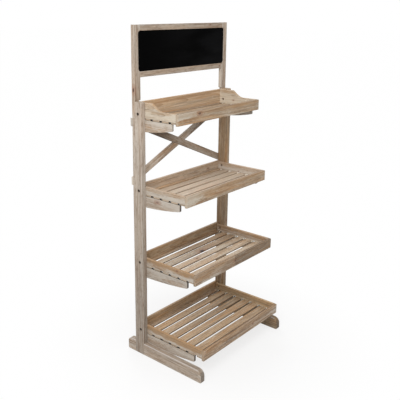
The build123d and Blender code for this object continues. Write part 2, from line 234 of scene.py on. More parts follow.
def make_material(name, surface_of, metallic=0.0, specular=0.5):
    """A material whose colour, roughness, height and depth in metres come from one function."""
    material = bpy.data.materials.new(name)
    tree = Tree(material)
    colour, roughness, height, depth = surface_of(tree)
    relief = {"Height": height, "Distance": depth, "Strength": BUMP_STRENGTH}
    shader = tree.nodes["Principled BSDF"]
    tree.feed(shader.inputs["Base Color"], colour)
    tree.feed(shader.inputs["Roughness"], roughness)
    tree.feed(shader.inputs["Normal"], tree.add("ShaderNodeBump", None, relief))
    tree.feed(shader.inputs["Metallic"], metallic)
    tree.feed(shader.inputs["Specular IOR Level"], specular)
    return material


# How each board lies

BRACE_WIDTH = 0.0305
BRACE_THICKNESS = 0.010
SLAT_WIDTH = 0.03875
SLAT_PITCH = 0.04875


def box_middle(node):
    low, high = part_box(node)
    return [(a + b) / 2 for a, b in zip(low, high)]


def box_halves(node):
    low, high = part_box(node)
    return [(b - a) / 2 for a, b in zip(low, high)]


def brace_slope(node):
    """The angle of a brace to the floor, from its box and its width."""
    half_run, _, half_rise = box_halves(node)
    diagonal = 2 * math.hypot(half_run, half_rise)
    return math.acos(BRACE_WIDTH / diagonal) - math.atan2(half_run, half_rise)


class Board:
    """A board's kind, place, turn and half sizes, with its first axis along the grain."""

    def __init__(self, node):
        self.node = node
        self.kind = node.split("_")[-1]
        self.middle = box_middle(node)
        wide, deep, tall = box_halves(node)
        if self.kind in ("post", "stile"):
            self.turn = (0.0, -math.pi / 2, 0.0)
            self.halves = (tall, deep, wide)
        elif self.kind in ("foot", "arm", "side"):
            self.turn = (0.0, 0.0, math.pi / 2)
            self.halves = (deep, wide, tall)
        elif self.kind == "brace":
            slope = brace_slope(node)
            self.turn = (0.0, slope if node.startswith("falling") else -slope, 0.0)
            self.halves = (wide / math.cos(slope), BRACE_THICKNESS / 2, BRACE_WIDTH / 2)
        else:
            self.turn = (0.0, 0.0, 0.0)
            self.halves = (wide, deep, tall)
        self.dice = random.Random(node)

    def pick(self, table, usual=None):
        """What a table says for this board, or else for its kind, or else what is usual."""
        return table.get(self.node, table.get(self.kind, usual))


# What sets the boards apart, seen in the photograph. A table names kinds of board, then single boards
# that differ from their kind

# How much of the white wash is left, from 0 to 1
WASH_LEFT = {
    "post": 0.46,
    "stile": 0.38,
    "rail": 0.36,
    "foot": 0.54,
    "arm": 0.70,
    "side": 0.56,
    "panel": 0.30,
    "lip": 0.34,
    "slat": 0.50,
    "slats": 0.52,
    "brace": 0.56,
    "right_post": 0.22,
    "right_foot": 0.26,
    "tier_1_left_side": 0.66,
    "tier_2_left_side": 0.74,
    "tier_2_right_side": 0.66,
    "tier_2_deck_slats": 0.50,
    "tier_2_front_slat": 0.40,
    "tier_4_right_side": 0.36,
    "tier_4_deck_slats": 0.48,
}

# How bright the board is beside the colours above
TONE = {
    "post": 1.0,
    "stile": 0.96,
    "rail": 0.98,
    "foot": 1.28,
    "arm": 1.0,
    "side": 1.02,
    "panel": 1.28,
    "lip": 1.0,
    "slat": 1.06,
    "slats": 1.10,
    "brace": 1.15,
    "right_post": 1.06,
    "right_foot": 1.02,
    "rising_brace": 1.34,
    "tier_1_right_arm": 0.72,
    "tier_1_left_side": 1.06,
    "tier_1_right_side": 1.10,
    "tier_1_back_panel": 1.38,
    "tier_2_right_side": 1.26,
    "tier_2_back_panel": 1.22,
    "tier_2_rear_slat": 1.30,
    "tier_2_deck_slats": 1.27,
    "tier_2_front_slat": 0.98,
    "tier_3_right_side": 1.26,
    "tier_3_back_panel": 1.03,
    "tier_3_deck_slats": 1.06,
    "tier_3_front_lip": 0.89,
    "tier_4_left_arm": 1.26,
    "tier_4_left_side": 1.26,
    "tier_4_right_side": 1.52,
    "tier_4_back_panel": 1.11,
    "tier_4_rear_slat": 1.14,
    "tier_4_deck_slats": 1.08,
    "tier_4_front_slat": 0.98,
}

# How far the board has greyed, from 0 to 1
GREYED = {
    "post": 0.35,
    "stile": 0.50,
    "rail": 0.40,
    "foot": 0.52,
    "arm": 0.35,
    "side": 0.15,
    "slats": 0.12,
    "brace": 0.25,
    "left_post": 0.68,
    "right_post": 0.0,
    "right_foot": 0.10,
    "rising_brace": 0.10,
    "tier_1_left_arm": 0.15,
    "tier_2_left_arm": 0.50,
    "tier_2_right_side": 0.40,
    "tier_2_back_panel": 0.42,
    "tier_2_deck_slats": 0.50,
    "tier_2_front_slat": 0.30,
    "tier_4_left_arm": 0.50,
    "tier_4_deck_slats": 0.0,
}

# How golden the wood is, from 0 for the colours above
GOLDEN = {
    "side": 0.1,
    "panel": 0.7,
    "lip": 0.4,
    "slat": 0.3,
    "slats": 0.5,
    "right_post": 0.6,
    "right_foot": 1.0,
    "tier_1_left_side": 0.5,
    "tier_1_right_side": 0.6,
    "tier_1_back_panel": 0.4,
    "tier_2_right_side": 0.0,
    "tier_2_back_panel": 0.2,
    "tier_2_deck_slats": 0.35,
    "tier_2_front_slat": 1.0,
    "tier_3_front_lip": 0.1,
    "tier_4_right_side": 1.3,
    "tier_4_deck_slats": 0.75,
    "tier_4_front_slat": 0.1,
    "tier_4_front_lip": 0.0,
}

# How strong the dark lines of the grain are, from 1 for what is usual
GRAIN = {
    "arm": 0.7,
    "side": 0.8,
    "slats": 0.8,
    "tier_1_left_arm": 0.5,
    "tier_1_left_side": 0.3,
    "tier_1_right_side": 0.5,
    "tier_1_back_panel": 0.3,
    "tier_2_deck_slats": 0.45,
    "tier_3_deck_slats": 0.60,
    "tier_4_front_lip": 1.5,
}

# How bare of wash a band below the top edge of a tray's walls is, from 0 to 1, and how far down the
# band reaches, in metres, before noise adds to that
WORN_BAND = {
    "side": 0.65,
    "panel": 0.20,
    "lip": 0.25,
    "tier_1_left_side": 0.15,
    "tier_1_right_side": 0.20,
    "tier_2_left_side": 0.35,
    "tier_2_right_side": 0.35,
    "tier_3_right_side": 0.50,
    "tier_4_left_side": 0.62,
    "tier_4_right_side": 0.40,
}
WORN_REACH = {"side": 0.004, "panel": 0.004, "lip": 0.004, "tier_4_left_side": 0.010}

# How bare of wash the top edge of a tray's walls is, from 0 to 1
WORN_TOP = {
    "side": 0.90,
    "panel": 0.35,
    "lip": 0.10,
    "tier_1_left_side": 0.45,
    "tier_1_right_side": 0.40,
    "tier_2_left_side": 0.55,
    "tier_2_right_side": 0.40,
    "tier_3_right_side": 0.55,
    "tier_4_right_side": 0.35,
}

# How dark the painted shade is on the ends of the arms, and on the long edges of the slats in the gaps
# between them, from 0 to 1
TIP_DARKNESS = {"arm": 0.8, "tier_1_left_arm": 0.15, "tier_1_right_arm": 0.15}
EDGE_SHADE_DARKNESS = {
    "slat": 0.75,
    "slats": 0.75,
    "tier_2_rear_slat": 0.45,
    "tier_2_deck_slats": 0.45,
    "tier_2_front_slat": 0.45,
}

# How far the slats of one deck differ in tone, and how much lighter painted light makes its rear than its
# front
SLAT_VARIETY = {"slats": 0.28, "tier_2_deck_slats": 0.12}
REAR_PAINTED_LIGHT = {"tier_4_deck_slats": 0.22}

# How dark the painted shade on the lower and the upper edge of each brace is, from 0 to 1
SHADED_EDGES = {"falling_brace": (0.80, 0.45), "rising_brace": (0.30, 0.15)}

# The end of each brace that runs into the shade under the top tray gets painted shade: where it is full
# and where it ends, in metres along the brace, and its darkness
PAINTED_BRACE_SHADE = {"falling_brace": (-0.17, 0.0, 0.62), "rising_brace": (0.18, 0.0, 0.52)}

# Boards glued up end to end: how far along the board the second length begins, in metres
JOINTED = {"tier_3_front_lip": -0.009}

# Patches of wash left thick, seen in the photograph: place on the board and radius, in metres, and
# how much thicker the wash is
THICK_WASH = {
    "tier_1_front_lip": ((-0.225, -0.060, 1.092), 0.060, 0.30),
    "tier_2_front_lip": ((-0.275, -0.109, 0.762), 0.090, 0.60),
    "tier_3_front_lip": ((-0.200, -0.158, 0.426), 0.070, 0.30),
    "tier_4_front_lip": ((0.255, -0.206, 0.118), 0.050, 0.15),
}

# Knots seen in the photograph: place on the board and radius, in metres, and darkness from 0 to 1. The
# left post has none, and a board that isn't named here gets small ones by chance
KNOTS = {
    "left_post": [],
    "right_post": [((0.294, 0.114, 0.480), 0.0045, 0.60)],
    "header_left_stile": [((-0.305, 0.155, 1.183), 0.0055, 0.80)],
    "header_right_stile": [((0.250, 0.148, 1.231), 0.0035, 0.60)],
    "tier_1_front_lip": [((-0.146, -0.060, 1.094), 0.0055, 0.65)],
    "tier_2_left_arm": [((-0.280, 0.050, 0.727), 0.0050, 0.35)],
    "tier_2_back_panel": [((0.188, 0.152, 0.762), 0.0035, 0.60)],
    "tier_3_deck_slats": [
        ((0.009, 0.0415, 0.425), 0.0092, 1.0),
        ((-0.072, 0.0035, 0.425), 0.0046, 0.7),
    ],
    "tier_3_front_lip": [((-0.008, -0.158, 0.440), 0.0040, 0.50)],
}
PIN_KNOT_COUNTS = (0, 1, 1, 2)
PIN_KNOT_RADIUS = (0.0014, 0.0026)
PIN_KNOT_DARKNESS = 0.6


def pin_knots(board):
    """Up to two small knots at random places on the board's two wide faces."""
    knots = []
    low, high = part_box(board.node)
    thin_axis = min(range(3), key=lambda axis: high[axis] - low[axis])
    for _ in range(board.dice.choice(PIN_KNOT_COUNTS)):
        place = [board.dice.uniform(a, b) for a, b in zip(low, high)]
        place[thin_axis] = board.dice.choice((low, high))[thin_axis]
        knots.append((tuple(place), board.dice.uniform(*PIN_KNOT_RADIUS), PIN_KNOT_DARKNESS))
    return knots


# How far the tray bolts lie in from a post's back and above the slats, and where the stain round each
# is full and where it ends
BOLT_INSET = 0.032
BOLT_ABOVE_SLATS = 0.019
BOLT_STAIN_REACH = (0.0050, 0.0082)
BOLT_STAIN_SHARE = 0.65
TIERS = (1, 2, 3, 4)

# A bolt runs along X, so only what lies beside it on the other axes counts
BESIDE_BOLT = (0.0, 1.0, 1.0)


def bolt_places(board):
    """A point on the middle line of each tray bolt in a post."""
    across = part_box(board.node)[1][1] - BOLT_INSET
    slat_tops = [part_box(f"tier_{number}_rear_slat")[1][2] for number in TIERS]
    return [(0.0, across, slat_top + BOLT_ABOVE_SLATS) for slat_top in slat_tops]


# Washed pine

# The noises in the wood: which of the board's starts each one has, its grains per metre along, across
# and through the board, and its detail
NOISES = {
    "spread": (0, (1.6, 11, 11), 1.5),
    "wobble": (1, (300, 300, 300), 1),
    "fibre": (2, (22, 800, 800), 2),
    "streak": (3, (3.2, 150, 150), 2.5),
    "patch": (4, (2.4, 26, 26), 2.5),
    "cloud": (5, (7, 34, 34), 3),
    "speck": (6, (160, 420, 420), 1),
    "scallop": (6, (30, 30, 30), 1),
    "vein": (7, (8, 280, 280), 2),
    "drift": (8, (3.0, 12, 12), 1.5),
    "fleck": (9, (60, 190, 190), 2),
    "band": (10, (4, 75, 75), 2),
}
START_COUNT = 11

# Between what numbers each draw for a board lies, with lengths in metres
PITH_AWAY = (0.025, 0.060)
PITH_ASIDE = (-0.014, 0.014)
TILT = (0.012, 0.035)
SIDEWAYS_TILT = (-0.015, 0.015)
RING_WIDTH = (0.0026, 0.0042)
RING_STRENGTH = (0.55, 0.85)
WASH_CHANCE = (-0.05, 0.05)
TONE_CHANCE = (0.95, 1.05)
TAN_SHARE = (0.30, 0.55)
NOISE_START = (-40, 40)
EITHER_WAY = (-1, 1)

# How far noise spreads the rings, in metres, and how sharply each ring darkens
RING_SPREAD = 0.013
RING_SHARPNESS = 2.5

# How far apart two slats of a deck are cut from the wood, in metres along, across and through it. Half
# a step keeps the number that picks a slat's chance clear of rounding
SLAT_STEPS = (0.83, 0.031, 0.013)
HALF_STEP = 0.5

# A knot is longer along the board than across it. Its heart and its halo fade out between these shares
# of its radius, and the halo pushes the rings aside by another share of it
KNOT_STRETCH = (0.55, 1.0, 1.0)
HEART_FADE = (0.55, 1.05)
HALO_FADE = (0.8, 3.4)
KNOT_PUSH = 1.1
HALO_SHARE = 0.45

# How far along an axis the normal points where a face begins to count as facing that way, and where it
# fully does: for the board's own ends and edges, for what faces up, and for a stile's inner wall
FACING = (0.6, 0.9)
FACING_UP = (0.3, 0.8)
FACING_IN = (0.5, 0.9)

# Stains in the bare wood, from the bottom up: the noise that places each, the levels of it at which
# the stain is none and full, the stain's share, and its colour
TAN_LEVELS = (0.50, 0.68)
STAINS = (
    ("band", 0.50, 0.64, 0.50, TAN_PATCH),
    ("band", 0.46, 0.34, 0.35, GREY_STREAK),
    ("streak", 0.50, 0.64, 0.50, GREY_STREAK),
    ("streak", 0.46, 0.34, 0.50, DARK_RING),
)

# Fine lines and flecks over the wash, in the same form. Where wash lies it hides this share of the ones
# in VEIN_AND_SHADE_BROWN
FINE_LINES = (
    ("streak", 0.48, 0.36, 0.25, DARK_RING),
    ("vein", 0.48, 0.34, 0.55, VEIN_AND_SHADE_BROWN),
    ("vein", 0.54, 0.68, 0.35, WHITE_WASH),
    ("fleck", 0.44, 0.32, 0.35, VEIN_AND_SHADE_BROWN),
    ("fleck", 0.58, 0.70, 0.25, WHITE_WASH),
)
HIDDEN_SHARE = 0.75

# How much each of these adds to the level that says where wash is left
CLOUD_WASH = 0.6
DRIFT_WASH = 0.7
FIBRE_WASH = 0.55
FLECK_WASH = 0.35
RING_WASH = -0.10
EDGE_WASH = 0.16
END_WASH = 0.16
LOW_SIDE_WASH = 0.25
UNEVEN_WASH = 0.6
EVERYWHERE_WASH = -0.20

# The level at which a board with no wash left would show its first wash, and at which it is full
WASH_LEVELS = (0.96, 1.20)
WASH_SHARE = 0.9

# More wash is left near an edge, near an end and low on a side: where that is full and where it ends,
# in metres from the edge, from the end and up from the side's middle
NEAR_EDGE = (0.0004, 0.0032)
NEAR_END = (0.004, 0.035)
LOW_ON_SIDE = (-0.018, 0.006)

# A thick patch is wide and low, and full up to this share of its radius
THICK_STRETCH = (0.5, 1.0, 2.5)
THICK_CORE = 0.2

# How much fully golden wood gains in red and loses in blue
GOLDEN_RED = 0.03
GOLDEN_BLUE = 0.12

# In the gaps between slats the left end gets painted deep shade, and the right end painted light: how far
# that reaches from the slat's end and on its end face, and where along the slat left turns into right
GAP_END = (0.012, 0.018)
GAP_CORNER = (0.0012, 0.0026)
SLAT_MIDDLE = (-0.01, 0.01)
SLAT_END_SHARE = 0.8

# Noise moves the worn band's lower edge by about this much, and the band fades out from above that edge
# to below it, in metres
BAND_WANDER = 0.024
BAND_FADE = (-0.004, 0.002)

# The rear half of a lip's top edge gets painted shade, from its middle line to this far behind it, in
# metres
LIP_SHADE_REACH = (0.0, 0.004)
LIP_SHADE_SHARE = 0.65

# An arm's top, seen only through the gaps between the slats, is dark with painted shade and dirt
ARM_TOP_SHARE = 0.8

# The upper edges of a foot get a painted highlight: where that ends, in metres from the edge, and the
# heights above the foot's middle between which it begins. Its ends get painted shade
ARRIS_FADE = (0.0016, 0.0048)
FOOT_UPPER_PART = (0.014, 0.022)
FOOT_END_SHARE = 0.5

# How far from a brace's middle line the painted shade on its edges begins and is full, in metres, and how
# much darker its ends are
BRACE_EDGE = (0.0125, 0.0152)
BRACE_END_SHADE = 0.22

# How much of the end-grain colour the ends of the other boards take, and of wash a stile's inner wall
END_SHARE = 0.5
INNER_WALL_SHARE = 0.6

# Dark specks
SPECK_LEVELS = (0.70, 0.78)
SPECK_SHARE = 0.5

# Differences of tone: painted shade darkens the frame downwards between these heights in metres, painted
# light makes the up-facing tops of the sides lighter, the second length of a jointed board is darker, and
# where painted light makes the rear of a deck lighter, its tone is unchanged at this share of its depth
LOW_ON_FRAME = (0.1, 1.1)
LOW_PAINTED_SHADE = 0.30
SIDE_TOP_PAINTED_LIGHT = 0.25
JOINTED_SHADE = 0.28
KEPT_TONE_SHARE = 0.3

# Roughness and height of the wood, and the depth of its grain in metres
WOOD_ROUGHNESS = 0.58
FIBRE_ROUGHNESS = 0.14
WASH_ROUGHNESS = 0.06
FIBRE_HEIGHT = 0.7
RING_HEIGHT = 0.3
WASH_HEIGHT = 0.2
GRAIN_DEPTH = 0.0003


class WashedPine:
    """One pine board under a worn white wash, painted coat by coat."""

    def __init__(self, board):
        self.board = board
        self.noises = {}
        self.draw_lots()

    def surface(self, tree):
        """The board's colour, roughness, height and depth of grain, made in a material's tree."""
        self.tree = tree
        self.find_place()
        if self.board.kind == "slats":
            self.part_slats()
        self.find_faces()
        self.find_knots()
        self.grow_rings()
        self.stain_wood()
        self.wash_wood()
        self.draw_fine_lines()
        self.finish_by_kind()
        self.colour_knots()
        self.set_tone()
        self.lay(self.noise("speck").rise(*SPECK_LEVELS) * SPECK_SHARE, SPECK)
        fibre = self.noise("fibre")
        roughness = WOOD_ROUGHNESS + fibre * FIBRE_ROUGHNESS + self.wash * WASH_ROUGHNESS
        height = fibre * FIBRE_HEIGHT + self.ring * RING_HEIGHT + self.wash * WASH_HEIGHT
        return self.colour, roughness, height, GRAIN_DEPTH

    def draw_lots(self):
        """What chance gives the board: how its rings run, its wash, its tone and its small knots."""
        board = self.board
        dice = board.dice
        self.pith_away = dice.uniform(*PITH_AWAY) * dice.choice(EITHER_WAY)
        self.pith_aside = dice.uniform(*PITH_ASIDE)
        self.tilt = dice.uniform(*TILT) * dice.choice(EITHER_WAY)
        self.sideways_tilt = dice.uniform(*SIDEWAYS_TILT)
        self.ring_width = dice.uniform(*RING_WIDTH)
        self.ring_strength = dice.uniform(*RING_STRENGTH)
        self.kept_wash = board.pick(WASH_LEFT) + dice.uniform(*WASH_CHANCE)
        self.tone = board.pick(TONE) * dice.uniform(*TONE_CHANCE)
        self.tan_share = dice.uniform(*TAN_SHARE)
        self.starts = [tuple(dice.uniform(*NOISE_START) for _ in range(3)) for _ in range(START_COUNT)]
        self.knots = KNOTS[board.node] if board.node in KNOTS else pin_knots(board)

    def noise(self, name):
        """One of the board's noises, made when it is first asked for."""
        if name not in self.noises:
            start, grains, detail = NOISES[name]
            self.noises[name] = self.tree.noise(self.place, grains, self.starts[start], detail)
        return self.noises[name]

    def swing(self, name):
        """The same noise about zero."""
        return self.noise(name) - AVERAGE

    def lay(self, share, colour):
        """Lays a colour over what the board has so far."""
        self.colour = self.tree.mix(share, self.colour, colour)

    def find_place(self):
        """Where a spot lies along, across and through the board, from its middle."""
        self.object_place = self.tree.object_place()
        self.place = self.tree.turned(self.object_place, self.board.turn, self.board.middle)
        self.along, self.across, self.through = self.tree.split(self.place)
        self.halves = list(self.board.halves)

    def part_slats(self):
        """Makes each full-width slat of a deck a board of its own."""
        self.from_front = self.across + self.board.halves[1]
        number = (self.from_front / SLAT_PITCH).floor()
        self.across = self.from_front - number * SLAT_PITCH - SLAT_WIDTH / 2
        self.halves[1] = SLAT_WIDTH / 2
        steps = {axis: number * step for axis, step in enumerate(SLAT_STEPS)}
        self.place = self.tree.vector("ADD", self.place, self.tree.add("ShaderNodeCombineXYZ", None, steps))
        settings = {"noise_dimensions": "1D"}
        self.chance = self.tree.add("ShaderNodeTexWhiteNoise", settings, {"W": number + HALF_STEP})

    def find_faces(self):
        """How far a spot is from the board's faces and edges, and which way it faces.

        Of its distances from the three pairs of faces, the middle one is that from the nearest edge.
        """
        spot = (self.along, self.across, self.through)
        self.room = [half - abs(part) for half, part in zip(self.halves, spot)]
        endways, sideways, upwards = self.room
        self.edge = endways.least(sideways).most(endways.most(sideways).least(upwards))
        normal = self.tree.object_normal()
        self.faces = self.tree.split(self.tree.turned(normal, self.board.turn))
        self.object_faces = self.tree.split(normal)
        self.end_grain = abs(self.faces[0]).rise(*FACING)

    def find_knots(self):
        """The heart and halo of each knot at a spot, and how far the halo pushes the rings."""
        self.hearts = []
        self.halos = []
        self.pushes = []
        for place, radius, darkness in self.knots:
            gap = self.tree.vector("SUBTRACT", self.object_place, place)
            stretched = self.tree.vector("MULTIPLY", self.tree.turned(gap, self.board.turn), KNOT_STRETCH)
            reach = self.tree.length(stretched) + self.swing("wobble") * radius
            halo = reach.fall(*(radius * share for share in HALO_FADE))
            self.hearts.append(reach.fall(*(radius * share for share in HEART_FADE)) * darkness)
            self.halos.append(halo)
            self.pushes.append(halo * radius * KNOT_PUSH)

    def grow_rings(self):
        """Annual rings about a pith that lies beside the board and leans along it."""
        place = self.tree.split(self.place)
        thin, broad = (1, 2) if self.halves[1] < self.halves[2] else (2, 1)
        away = place[thin] + place[0] * self.tilt + self.pith_away
        aside = place[broad] + place[0] * self.sideways_tilt + self.pith_aside
        radius = (away * away + aside * aside) ** 0.5 + self.swing("spread") * RING_SPREAD
        for push in self.pushes:
            radius = radius + push
        self.ring = (radius / self.ring_width).fraction() ** RING_SHARPNESS

    def stain_wood(self):
        """The bare wood: its rings, and the tan and grey stains in it."""
        self.colour = self.tree.mix(self.ring * self.ring_strength, PALE_WOOD, DARK_RING)
        self.lay(self.noise("patch").rise(*TAN_LEVELS) * self.tan_share, TAN_PATCH)
        for name, none, full, share, colour in STAINS:
            self.lay(self.noise(name).between(none, full) * share, colour)

    def wash_wood(self):
        """Lays what is left of the white wash, then greys it and the wood."""
        board = self.board
        level = self.noise("cloud") * CLOUD_WASH + self.noise("drift") * DRIFT_WASH
        level = level + self.swing("fibre") * FIBRE_WASH + self.ring * RING_WASH
        level = level + self.edge.fall(*NEAR_EDGE) * EDGE_WASH + EVERYWHERE_WASH
        if board.kind != "foot":
            level = level + self.room[0].fall(*NEAR_END) * END_WASH
        if board.kind == "side":
            level = level + self.through.fall(*LOW_ON_SIDE) * LOW_SIDE_WASH
        if board.kind in ("lip", "foot"):
            level = level + self.swing("cloud") * UNEVEN_WASH
        if board.node in THICK_WASH:
            place, radius, thickness = THICK_WASH[board.node]
            gap = self.tree.vector("SUBTRACT", self.object_place, place)
            reach = self.tree.length(self.tree.vector("MULTIPLY", gap, THICK_STRETCH))
            level = level + reach.fall(radius * THICK_CORE, radius) * thickness
        level = level + self.swing("fleck") * FLECK_WASH
        self.wash = level.rise(*(limit - self.kept_wash for limit in WASH_LEVELS))
        self.lay(self.wash * WASH_SHARE, WHITE_WASH)
        greyed = board.pick(GREYED, 0.0)
        if greyed:
            self.lay(greyed, WEATHERED)

    def draw_fine_lines(self):
        """Veins and flecks over the wash, and the golden tint of some boards."""
        bare = (1 - self.wash * HIDDEN_SHARE) * self.board.pick(GRAIN, 1.0)
        for name, none, full, share, colour in FINE_LINES:
            level = self.noise(name).between(none, full)
            if colour is VEIN_AND_SHADE_BROWN:
                level = level * bare
            self.lay(level * share, colour)
        golden = self.board.pick(GOLDEN, 0.0)
        if golden:
            tint = (1 + golden * GOLDEN_RED, 1.0, 1 - golden * GOLDEN_BLUE)
            self.colour = self.tree.vector("MULTIPLY", self.colour, tint)

    def finish_by_kind(self):
        """The ends and edges of this kind of board, with their painted shade and light, and the marks that
        only this kind has.
        """
        kind = self.board.kind
        if kind in ("slat", "slats"):
            self.shade_slat_edges()
        elif kind == "arm":
            # Painted shade on the arm's ends, and painted shade and dirt on its top, seen through the gaps
            self.lay(self.end_grain * self.board.pick(TIP_DARKNESS), DARK_TIP)
            self.lay(self.faces[2].rise(*FACING) * ARM_TOP_SHARE, DARK_GAP)
        elif kind == "foot":
            # A painted highlight on the foot's upper edges, and painted shade on its ends
            arris = self.edge.fall(*ARRIS_FADE) * self.through.rise(*FOOT_UPPER_PART)
            self.lay(arris * (1 - self.end_grain), ARRIS_HIGHLIGHT)
            self.lay(self.end_grain * FOOT_END_SHARE, DARK_TIP)
        elif kind == "brace":
            self.shade_brace_edges()
        else:
            if kind in ("side", "panel", "lip"):
                self.wear_tray_wall()
            self.lay(self.end_grain * END_SHARE, END_GRAIN)
        if kind == "post":
            self.stain_bolts()
        if kind == "stile":
            inwards = -1.0 if self.board.middle[0] > 0 else 1.0
            inner_wall = (self.object_faces[0] * inwards).rise(*FACING_IN)
            self.lay(inner_wall * INNER_WALL_SHARE, WHITE_WASH)

    def shade_slat_edges(self):
        """Painted shade on the long edges of the slats, end grain on their ends, and where two slats leave
        a gap, painted deep shade at its left end and painted light at its right end.
        """
        # Painted shade on the slats' long edges, in the gaps between them
        slat_long_edge = abs(self.faces[1]).rise(*FACING)
        self.lay(slat_long_edge * self.board.pick(EDGE_SHADE_DARKNESS), EDGE_SHADE)
        self.lay(self.end_grain * SLAT_END_SHARE, END_GRAIN)
        # In each gap, painted deep shade at the left end and painted light at the right end
        gap_end = slat_long_edge * self.room[0].fall(*GAP_END)
        shaded = gap_end.most(self.end_grain * self.room[1].fall(*GAP_CORNER))
        self.lay(shaded * self.along.fall(*SLAT_MIDDLE), DARK_GAP)
        self.lay(gap_end * self.along.rise(*SLAT_MIDDLE), PAINTED_GAP_LIGHT)

    def wear_tray_wall(self):
        """Wears the wash off the top edge of a tray's wall, and off a scalloped band below it, and paints
        shade on the rear half of a lip's top edge.
        """
        board = self.board
        wander = (self.noise("drift") + self.swing("scallop")) * BAND_WANDER
        from_top = self.halves[2] - self.through
        below_band = from_top - (board.pick(WORN_REACH) + wander)
        band = below_band.fall(*BAND_FADE) * board.pick(WORN_BAND)
        top = self.object_faces[2].rise(*FACING_UP) * board.pick(WORN_TOP)
        self.lay(band.most(top), WORN_TAN)
        if board.kind == "lip":
            # Painted shade on the rear half of the lip's top edge
            rear = self.faces[2].rise(*FACING_UP) * self.across.rise(*LIP_SHADE_REACH)
            self.lay(rear * LIP_SHADE_SHARE, VEIN_AND_SHADE_BROWN)

    def shade_brace_edges(self):
        """Paints shade on the lower and the upper edge of a brace, and whitens its ends."""
        lower_share, upper_share = SHADED_EDGES[self.board.node]
        begin, end = BRACE_EDGE
        # Painted shade on the brace's lower and upper edges
        lower = self.through.fall(-end, -begin) * lower_share
        upper = self.through.rise(begin, end) * upper_share
        self.lay(lower.most(upper), EDGE_SHADE)
        self.lay(self.end_grain, WHITE_WASH)

    def stain_bolts(self):
        """A dark stain round each tray bolt."""
        for place in bolt_places(self.board):
            gap = self.tree.vector("SUBTRACT", self.object_place, place)
            reach = self.tree.length(self.tree.vector("MULTIPLY", gap, BESIDE_BOLT))
            self.lay(reach.fall(*BOLT_STAIN_REACH) * BOLT_STAIN_SHARE, BOLT_STAIN)

    def colour_knots(self):
        """Lays the reddish halo and then the dark heart of each knot."""
        if self.knots:
            self.lay(highest(self.halos) * HALO_SHARE, KNOT_HALO)
            self.lay(highest(self.hearts), KNOT_HEART)

    def set_tone(self):
        """Gives the board, and each slat of a deck, a tone of its own, paints shade that darkens the frame
        downwards and the ends of the braces under the top tray, and paints light on the up-facing tops of
        the sides and on the rear of a deck.
        """
        board = self.board
        tone = self.tone
        if board.kind == "slats":
            variety = board.pick(SLAT_VARIETY)
            tone = tone * (1 - variety / 2 + self.chance * variety)
            # Painted light on the rear of the deck
            if board.node in REAR_PAINTED_LIGHT:
                rear_share = self.from_front / (2 * board.halves[1])
                tone = tone * (1 + (rear_share - KEPT_TONE_SHARE) * REAR_PAINTED_LIGHT[board.node])
        # Painted shade that darkens the frame downwards
        if board.kind in ("post", "foot", "arm", "side"):
            height = self.tree.split(self.object_place)[2]
            tone = tone * (1 - height.fall(*LOW_ON_FRAME) * LOW_PAINTED_SHADE)
        # Painted light on the up-facing tops of the sides
        if board.kind == "side":
            tone = tone * (1 + self.object_faces[2].rise(*FACING_UP) * SIDE_TOP_PAINTED_LIGHT)
        if board.kind == "brace":
            tone = tone * (1 - self.end_grain * BRACE_END_SHADE)
        if board.node in JOINTED:
            tone = tone * (1 - self.along.past(JOINTED[board.node]) * JOINTED_SHADE)
        # Painted shade on the end of a brace that runs under the top tray
        if board.node in PAINTED_BRACE_SHADE:
            full, none, darkness = PAINTED_BRACE_SHADE[board.node]
            tone = tone * (1 - self.along.between(none, full) * (1 - self.end_grain) * darkness)
        self.colour = self.tree.brighten(self.colour, tone)


# Dowels. A noise is told by its grains per metre on each axis, its start and its detail

DOWEL_FIBRES = ((60, 700, 700), (3, 1, 4), 3)
DOWEL_LEVELS = (0.35, 0.7)
DOWEL_ROUGHNESS = 0.55
DOWEL_FIBRE_ROUGHNESS = 0.2
DOWEL_DEPTH = 0.0002


def dowel_surface(tree):
    """Bare turned wood with its fibres lengthwise."""
    fibre = tree.noise(tree.object_place(), *DOWEL_FIBRES)
    colour = tree.mix(fibre.rise(*DOWEL_LEVELS), DOWEL_WOOD, DOWEL_FIBRE)
    return colour, DOWEL_ROUGHNESS + fibre * DOWEL_FIBRE_ROUGHNESS, fibre, DOWEL_DEPTH


# Chalkboard

WIPED_CHALK = ((5, 40, 16), (2, 7, 1), 4)
WIPED_LEVELS = (0.25, 0.7)
GRIT = ((900, 900, 900), (5, 3, 9), 2)
GRIT_DEPTH = 0.00008

# Chalk dust, with a painted sheen that grows from left to right, between these places in metres and from
# this share
DUST_AND_SHEEN_REACH = (-0.25, 0.35)
LEAST_DUST_AND_SHEEN = 0.1
BOARD_ROUGHNESS = 0.62
GRIT_ROUGHNESS = 0.2


def chalkboard_surface(tree):
    """Matt black board paint with the ghost of wiped chalk, and a painted sheen that grows to the right."""
    place = tree.object_place()
    wiped = tree.noise(place, *WIPED_CHALK)
    grit = tree.noise(place, *GRIT)
    # Chalk dust, with a painted sheen that grows from left to right
    dust_and_sheen = LEAST_DUST_AND_SHEEN + tree.split(place)[0].rise(*DUST_AND_SHEEN_REACH) * (1 - LEAST_DUST_AND_SHEEN)
    colour = tree.mix(wiped.rise(*WIPED_LEVELS) * dust_and_sheen, BOARD_BLACK, CHALK_DUST_AND_SHEEN)
    return colour, BOARD_ROUGHNESS + grit * GRIT_ROUGHNESS, grit, GRIT_DEPTH


# Plated steel

WEAR = ((260, 260, 260), (1, 8, 2), 4)
WEAR_LEVELS = (0.42, 0.66)
SCRATCHES = ((2400, 500, 2400), (6, 2, 5), 2)
SCRATCH_DEPTH = 0.00005
STEEL_ROUGHNESS = 0.34
WEAR_ROUGHNESS = 0.22


